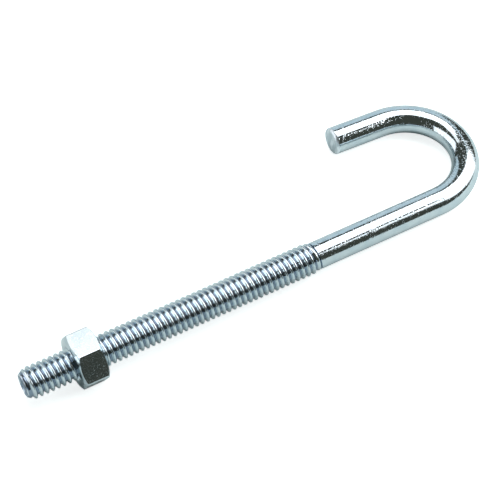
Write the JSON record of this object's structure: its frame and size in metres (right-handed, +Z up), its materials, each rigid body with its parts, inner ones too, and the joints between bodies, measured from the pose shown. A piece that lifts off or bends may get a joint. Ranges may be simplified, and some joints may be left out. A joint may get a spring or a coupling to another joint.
{
  "type": "j bolt",
  "caption": "Threaded rod bent into a hook at one end, with a hex nut on its thread.",
  "frame": {"origin": "on the table, below the centre of the bounding box of the bolt as it lies", "axes": "+X under the thread's axis from the tip to the hook, +Z up from the table, +Y the side on which the hook's short leg comes back"},
  "size_m": [0.1274, 0.0398, 0.0126],
  "materials": {
    "zinc_plated_rod": "bright zinc plate over drawn and rolled steel, lengthwise scratches",
    "zinc_plated_nut": "bright zinc plate over a cold-formed nut"
  },
  "bodies": {
    "bolt": {"j_bolt": "zinc_plated_rod"},
    "nut": {"hex_nut": "zinc_plated_nut"}
  },
  "joints": [
    {"name": "nut_on_thread", "type": "slide", "parent": "bolt", "child": "nut", "axis": [0.9996, 0, -0.0275], "range_m": [-0.01976, 0.05221]}
  ]
}
